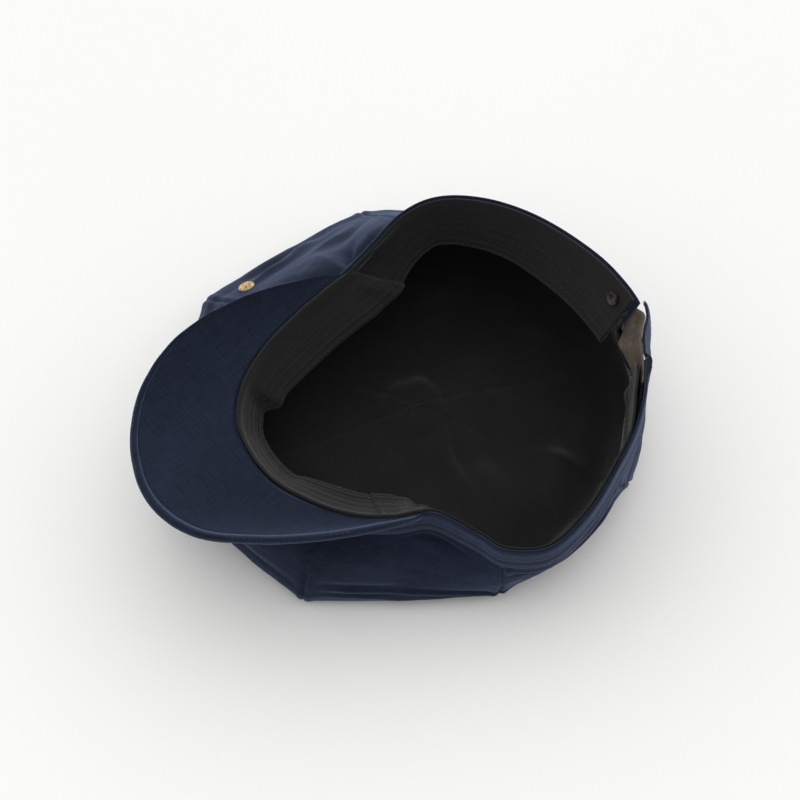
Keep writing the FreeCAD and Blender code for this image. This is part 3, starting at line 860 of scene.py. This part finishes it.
def sweatband_piece():
    s_values = sorted(set(spread(NOTCH[1] + 0.03, NOTCH[0] + PANELS - 0.04, 440) + spread(7.55, 7.8, 30)
                          + spread(6.4, 6.75, 30) + spread(9.05, 9.5, 50)))
    shares = spread(0.0, 0.74, 20) + [0.77, 0.785, 0.80, 0.83, 0.86, 0.875, 0.885, 0.895, 0.91, 0.94,
                                      0.965, 0.985, 1.0]
    front, back = [], []
    for s in s_values:
        front_row, back_row = [], []
        for share in shares:
            body, binding = sweat_rise(share)
            h = sweat_relief(s, share)
            front_row.append(sweat_point(s, share, body + binding + h + 0.3))
            back_row.append(sweat_point(s, share, -0.1 - binding * 0.6 + h * 0.9))
        front.append(front_row)
        back.append(back_row)
    obj = thick_grid("sweatband_cloth", front, back)
    dress(obj, SWEAT, None, ["sweatband", "sweatband_binding"])
    bend_with_visor(obj)
    runs = []
    for share in SWEAT_STITCHES:
        body, binding = sweat_rise(share)
        points = [sweat_point(s, share, body + binding + 0.36 + sweat_relief(s, share)) for s in s_values]
        ups = []
        for s in s_values:
            lean = sweat_lean(s)
            ups.append(-outward(s) * math.cos(lean) + UP * math.sin(lean))
        runs.append((points, ups))
    sewn = stitches("sweatband_stitching", runs, 2.8, 2.0, 0.2)
    dress(sewn, BLACK_THREAD)
    bend_with_visor(sewn)


# ------------------------------------------------------------------ visor

def visor_point(p, q, drop=0.0):
    """Visor surface: p runs along it from the +X end, q from the crown to the outer edge."""
    s = VISOR_START - VISOR_SPAN * p
    inner = wall(s, 0.7, 0.75)
    outer = through(VISOR_EDGE, p) + SHIFT
    outer = outer - unit(outer - inner) * EDGE_INSET
    sag = 3.0 * math.sin(math.pi * p) * math.sin(math.pi * q)
    return inner + (outer - inner) * q - UP * (sag + drop)


def visor_thickness(p, q):
    """Share of the full height of each face; the covers meet at the ends and along the crown."""
    ends = smooth(0.12 + min(p, 1 - p) / 0.005)
    inner = smooth((q + 0.02) / 0.07)
    return ends * inner


def visor_pieces():
    """Under and upper cover with the board between them, and the bound edge."""
    p_values = sorted(set(spread(0.0, 1.0, 130) + spread(0.0, 0.03, 8) + spread(0.97, 1.0, 8)))
    q_values = sorted(set(spread(0.0, 1.0, 40) + spread(0.0, 0.08, 8) + spread(0.95, 1.0, 6)))
    for name, node_name, seed in (("visor_under", "visor_under_cover", 11.0),
                                  ("visor_top", "visor_top_cover", 23.0)):
        front, back = [], []
        for p in p_values:
            front_row, back_row = [], []
            for q in q_values:
                full = visor_thickness(p, q)
                point = visor_point(p, q)
                wave = 0.22 * fractal(point, 30.0, 2, seed) + 0.08 * fractal(point, 8.0, 2, seed)
                pinched = 0.5 * smooth((q - 0.93) / 0.07)
                if name == "visor_under":
                    face = VISOR_HALF - full * (2.0 + wave - pinched)
                    front_row.append(visor_point(p, q, face))
                    back_row.append(visor_point(p, q, face + 0.12 + 0.75 * full))
                else:
                    face = VISOR_HALF + full * (2.0 + wave - pinched)
                    front_row.append(visor_point(p, q, face - 0.12 - 0.75 * full))
                    back_row.append(visor_point(p, q, face))
            front.append(front_row)
            back.append(back_row)
        grain = np.array(front)[:, :, :2] @ np.array([[0.94, -0.34], [0.34, 0.94]]) / 100.0
        obj = thick_grid(name, front, back, uv=grain)
        dress(obj, NAVY, "visor", [node_name])
    p_values, q_values = spread(0.012, 0.988, 90), spread(0.04, 0.985, 12)
    front = [[visor_point(p, q, 1.75) for q in q_values] for p in p_values]
    back = [[visor_point(p, q, 2.85) for q in q_values] for p in p_values]
    board = thick_grid("visor_stiffener", front, back)
    dress(board, BOARD, "visor", ["visor_board"])
    edge_piece()


def edge_piece():
    """Bound outer edge of the visor: a fat roll of cloth with a groove beside it and a line of stitches."""
    section = []
    for angle in spread(-118, 118, 23):
        a = math.radians(angle)
        section.append((1.75 * math.cos(a), 2.3 * math.sin(a)))
    section = [(-2.6, -1.5)] + section + [(-2.6, 1.5)]
    outer_rows, inner_rows, seam, lifts = [], [], [], []
    for p in spread(0.0, 1.0, 260):
        middle = visor_point(p, 1.0, VISOR_HALF)
        away = middle - visor_point(p, 0.8, VISOR_HALF)
        away[2] = 0
        away = unit(away)
        ends = math.sqrt(smooth(min(p, 1 - p) / 0.012 + 0.08))
        wave = 0.12 * fractal(middle, 9.0, 2, 6.0)
        outer_rows.append([middle + away * ((x + 0.5) * ends + wave) + UP * (z * ends * (1 + wave))
                           for x, z in section])
        inner_rows.append([middle + away * ((x * 0.62 + 0.5) * ends) + UP * (z * ends * 0.66)
                           for x, z in section])
        seam.append(middle + away * (0.9 + wave) + UP * 2.05 * ends)
        lifts.append(UP)
    obj = thick_grid("visor_edge_roll", outer_rows, inner_rows)
    dress(obj, NAVY, "visor", ["visor_piping"])
    sewn = stitches("visor_edge_stitching", [(seam[6:-6], lifts[6:-6])], 2.6, 1.9, 0.16)
    dress(sewn, NAVY_THREAD, "visor")


# ------------------------------------------------------------------ rear adjuster

def strap_offset(s):
    outer, inner = BAND_FACE + 0.4, -0.35 - 1.4
    return inner + (outer - inner) * smooth((s - 3.8) / 0.31) - 2.1 * bump_at(s, 3.93, 0.11)


def strap_top(s):
    """The strap's upper edge dips where it passes outside the band and narrows to its end."""
    return 0.8 + 5.2 * smooth((s - 4.02) / 0.16)


def strap_bottom(s):
    return 15.0 + 3.0 * bump_at(s, 4.02, 0.08)


def strap_place(s, d, out):
    return wall(s, d, strap_offset(s) + out)


def strap_piece():
    s_values = spread(STRAP[0], STRAP[1], 90)
    shares = spread(0.0, 1.0, 24)
    front, back = [], []
    for s in s_values:
        low, high = [], []
        top, bottom = strap_top(s), strap_bottom(s)
        for share in shares:
            d = top + (bottom - top) * share
            edge = min(d - top, bottom - d, (s - STRAP[0]) * REAR_PITCH,
                       (STRAP[1] - s) * REAR_PITCH)
            round_off = 0.45 * (1 - smooth(edge / 1.2))
            dent = 0.0
            for centre in STRAP_HOLES:
                gap = math.hypot((s - centre) * REAR_PITCH, d - 7.9)
                dent += 0.75 * (1 - smooth((gap - 1.0) / 0.5))
            dent += 0.12 * (1 - smooth(abs(edge - 2.2) / 0.5))
            tilt = -1.6 * share ** 2 * bump_at(s, 4.02, 0.09)
            low.append(strap_place(s, d, tilt + round_off + min(dent, 0.62)))
            high.append(strap_place(s, d, tilt + 1.4 - round_off - min(dent, 0.62)))
        front.append(low)
        back.append(high)
    obj = thick_grid("strap_hide", front, back)
    dress(obj, TAN, "crown", ["leather_strap"])
    runs = []
    for near_top in (True, False):
        points = []
        for s in s_values:
            if near_top:
                points.append(strap_place(s, strap_top(s) + 1.7, -0.02))
            else:
                points.append(strap_place(s, 13.3, -0.02 - 0.9 * bump_at(s, 4.02, 0.09)))
        runs.append((points, [-outward(s) for s in s_values]))
    sewn = stitches("strap_stitching", runs, 2.6, 1.8, 0.18)
    dress(sewn, NAVY_THREAD, "crown")


def tab_stand(s):
    """How far the tab stands off the band: sewn flat, bowed over the strap, lifted at its tip."""
    stations = [3.68, 3.72, 3.80, 3.93, 4.02, 4.10, 4.14]
    return float(np.interp(s, stations, [0.8, 1.55, 1.6, 1.3, 2.9, 4.3, 4.9]))


def tab_half(s):
    taper = max(0.0, (s - TAB[1] + 0.2) / 0.2)
    return 7.6 * (1 - 0.80 * taper ** 1.3)


def tab_place(s, d, out):
    """Point on the tab: its upper edge leans in against the strap, and its tip rises a little."""
    stand = tab_stand(s)
    against = strap_offset(s) + 0.95 + 0.8 * wall_slope(s)
    top = stand + min(0.0, against - stand) * smooth((s - 3.77) / 0.04)
    rise = 2.0 * smooth((s - 4.05) / 0.12)
    return upright(s, d - rise, top + (stand - top) * smooth(d / 13.0) + out)


def tab_thin(s):
    """The tab is pressed thinner where it is sewn down."""
    return 1.0 - 0.35 * smooth((3.86 - s) / 0.1)


def tab_wave(s, d):
    return 0.3 * fractal(upright(s, d, 0), 16.0, 2, 8.0) * smooth(d / 4.0)


def bend_with_tab(obj):
    """The tab is sewn down at its root; this only bakes the object's transform into its mesh, and the root
    and end points are not used.
    """
    root, end = tab_place(3.72, TAB_MIDDLE, 0) * MM, tab_place(4.06, TAB_MIDDLE, 0) * MM
    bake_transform(obj)


def tab_pieces():
    s_values = spread(TAB[0], TAB[1], 70)
    shares = spread(-1, 1, 26)
    for name, low, high, mat, slot, node_name in (
            ("tab_inner_cloth", 0.0, 0.65, BLACK, "black_cotton", "tab_lining"),
            ("tab_outer_cloth", 0.7, 1.7, NAVY, "navy_cloth", "tab_cover")):
        front, back = [], []
        for s in s_values:
            inner_row, outer_row = [], []
            for share in shares:
                d = TAB_MIDDLE + tab_half(s) * share
                edge = min((1 - abs(share)) * tab_half(s), (TAB[1] - s) * REAR_PITCH)
                soft = 0.4 * (1 - smooth(edge / 1.4)) - 0.14 * (1 - smooth(abs(edge - 2.4) / 0.6))
                wave = tab_wave(s, d)
                hem = 0.2 * soft if low == 0.0 else 0.0
                inner_row.append(tab_place(s, d, low * tab_thin(s) + wave * 0.8 + hem))
                outer_row.append(tab_place(s, d, (high - soft) * tab_thin(s) + wave))
            front.append(inner_row)
            back.append(outer_row)
        obj = thick_grid(name, front, back)
        dress(obj, mat, None, [node_name])
        bend_with_tab(obj)
    runs = []
    for sign in (-1, 1):
        points = []
        for s in s_values[:-4]:
            d = TAB_MIDDLE + sign * max(tab_half(s) - 2.2, 0.3)
            points.append(tab_place(s, d, 1.7 * tab_thin(s) + tab_wave(s, d) - 0.02))
        runs.append((points, [outward(s) for s in s_values[:-4]]))
    sewn = stitches("tab_stitching", runs, 2.8, 2.0, 0.2)
    dress(sewn, NAVY_THREAD)
    bend_with_tab(sewn)
    pad_pieces()


def pad_pieces():
    """Hook pad inside the tab and loop pad on the strap, with sewn edges."""
    for name, place, rise, node_name in (
            ("tab_hook_tape", tab_place, -0.55, "tab_hook_pad"),
            ("strap_loop_tape", strap_place, 1.45, "strap_loop_pad")):
        front, back = [], []
        for s in spread(PADS[0], PADS[1], 30):
            low, high = [], []
            for d in spread(3.5, 12.0, 22):
                edge = min(d - 3.5, 12.0 - d, (s - PADS[0]) * REAR_PITCH, (PADS[1] - s) * REAR_PITCH)
                soft = 0.25 * (1 - smooth(edge / 0.9))
                pile = 0.08 * fractal(wall(s, d, 0), 1.6, 2, 3.0)
                if rise < 0:
                    low.append(place(s, d, rise + soft + pile))
                    high.append(place(s, d, rise + 0.5))
                else:
                    low.append(place(s, d, rise))
                    high.append(place(s, d, rise + 0.5 - soft + pile))
            front.append(low)
            back.append(high)
        obj = thick_grid(name, front, back)
        dress(obj, TAPE, None if rise < 0 else "crown", [node_name])
        if rise < 0:
            bend_with_tab(obj)


# ------------------------------------------------------------------ carried-over CAD pieces

def stud_piece():
    """Stud cap: a domed centre in a ring of beads."""
    low, high = [np.array(corner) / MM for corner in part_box("stud_cap")]
    under_low, under_high = [np.array(corner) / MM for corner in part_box("stud_washer")]
    middle = (low + high) / 2
    axis = unit(unit(middle - (under_low + under_high) / 2) + 0.3 * UP)
    side = unit(np.cross(axis, UP))
    other = np.cross(axis, side)
    beads = 14
    profile = [(0.0, 1.25), (0.7, 1.2), (1.3, 0.95), (1.6, 0.55), (1.9, 0.4), (2.3, 0.62), (2.9, 0.78),
               (3.6, 0.62), (4.2, 0.2), (4.4, -0.35), (4.2, -0.85)]
    steps = 112
    front, back = [], []
    for k in range(steps):
        a = 2 * math.pi * k / steps
        ray = side * math.cos(a) + other * math.sin(a)
        ripple = abs(math.cos(beads * a / 2)) ** 0.6
        row = []
        for radius, height in profile:
            ring = bump_at(radius, 2.9, 0.75)
            row.append(middle + ray * (radius - 0.3 * (1 - ripple) * (radius > 3.0))
                       + axis * (height - 0.45 * ring * (1 - ripple)))
        front.append(row)
        back.append([middle + ray * min(radius, 3.6) - axis * (0.85 + 0.01 * (4.1 - radius))
                     for radius, height in profile])
    obj = thick_grid("stud_face", front, back, closed=True)
    dress(obj, GILT, "crown", ["stud_cap"])


def carried():
    """CAD pieces that stay, with better finishes."""
    finishes = {
        "button_cover": NAVY, "button_core": STEEL, "button_shank": NAVY_THREAD,
        "stud_post": BRASS, "stud_washer": STEEL,
        "strap_rivet_cap": BRASS, "strap_rivet_post": BRASS, "strap_rivet_washer": STEEL,
    }
    for name, mat in finishes.items():
        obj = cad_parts[name]
        obj.data.materials.clear()
        obj.data.materials.append(mat)


# ------------------------------------------------------------------ stage

def area(name, place, target, size, power):
    light = bpy.data.lights.new(name, "AREA")
    light.shape = "DISK"
    light.size = size
    light.energy = power
    obj = bpy.data.objects.new(name, light)
    bpy.context.scene.collection.objects.link(obj)
    obj.location = place
    obj.rotation_euler = (Vector(target) - Vector(place)).to_track_quat("-Z", "Y").to_euler()


def stage():
    mesh = bpy.data.meshes.new("floor")
    reach = 6.0
    corners = [(-reach, -reach, 0), (reach, -reach, 0), (reach, reach, 0), (-reach, reach, 0)]
    mesh.from_pydata(corners, [], [(0, 1, 2, 3)])
    floor = link(mesh, "floor")
    mat = plain("floor_paper", (0.80, 0.80, 0.79), (0.83, 0.83, 0.815), 0.9, 3.0, 0.02)
    mesh.materials.append(mat)
    world = bpy.data.worlds.new("studio")
    world.use_nodes = True
    tree = world.node_tree
    aim = node(tree, "ShaderNodeVectorMath", operation="DOT_PRODUCT")
    tree.links.new(node(tree, "ShaderNodeTexCoord").outputs["Generated"], aim.inputs[0])
    aim.inputs[1].default_value = (-0.943, 0.334, 0.0)
    level = node(tree, "ShaderNodeMapRange")
    for socket, value in (("From Min", -1.0), ("From Max", 1.0), ("To Min", 0.26), ("To Max", 2.0)):
        level.inputs[socket].default_value = value
    tree.links.new(aim.outputs["Value"], level.inputs["Value"])
    tree.nodes["Background"].inputs["Color"].default_value = (1, 1, 1, 1)
    tree.links.new(level.outputs["Result"], tree.nodes["Background"].inputs["Strength"])
    bpy.context.scene.world = world
    area("fill", (0.66, -0.23, 1.4), (0.0, 0.0, 0.03), 1.0, 2.2)
    bpy.context.scene.view_settings.view_transform = "Standard"


def camera():
    azimuth, elevation, distance = math.radians(70.5), math.radians(60), 0.95
    back = Vector((math.sin(azimuth) * math.cos(elevation), -math.cos(azimuth) * math.cos(elevation),
                   math.sin(elevation)))
    target = Vector((12.06, 4.3, 45.33)) * MM
    data = bpy.data.cameras.new("camera")
    data.sensor_width = 36
    data.lens = 89.8
    data.clip_start = 0.01
    obj = bpy.data.objects.new("camera", data)
    bpy.context.scene.collection.objects.link(obj)
    obj.location = target + back * distance
    obj.rotation_euler = back.to_track_quat("Z", "Y").to_euler()
    bpy.context.scene.camera = obj


camera()
stage()
crown_piece()
lining_piece()
band_piece()
sweatband_piece()
visor_pieces()
strap_piece()
tab_pieces()
stud_piece()
carried()
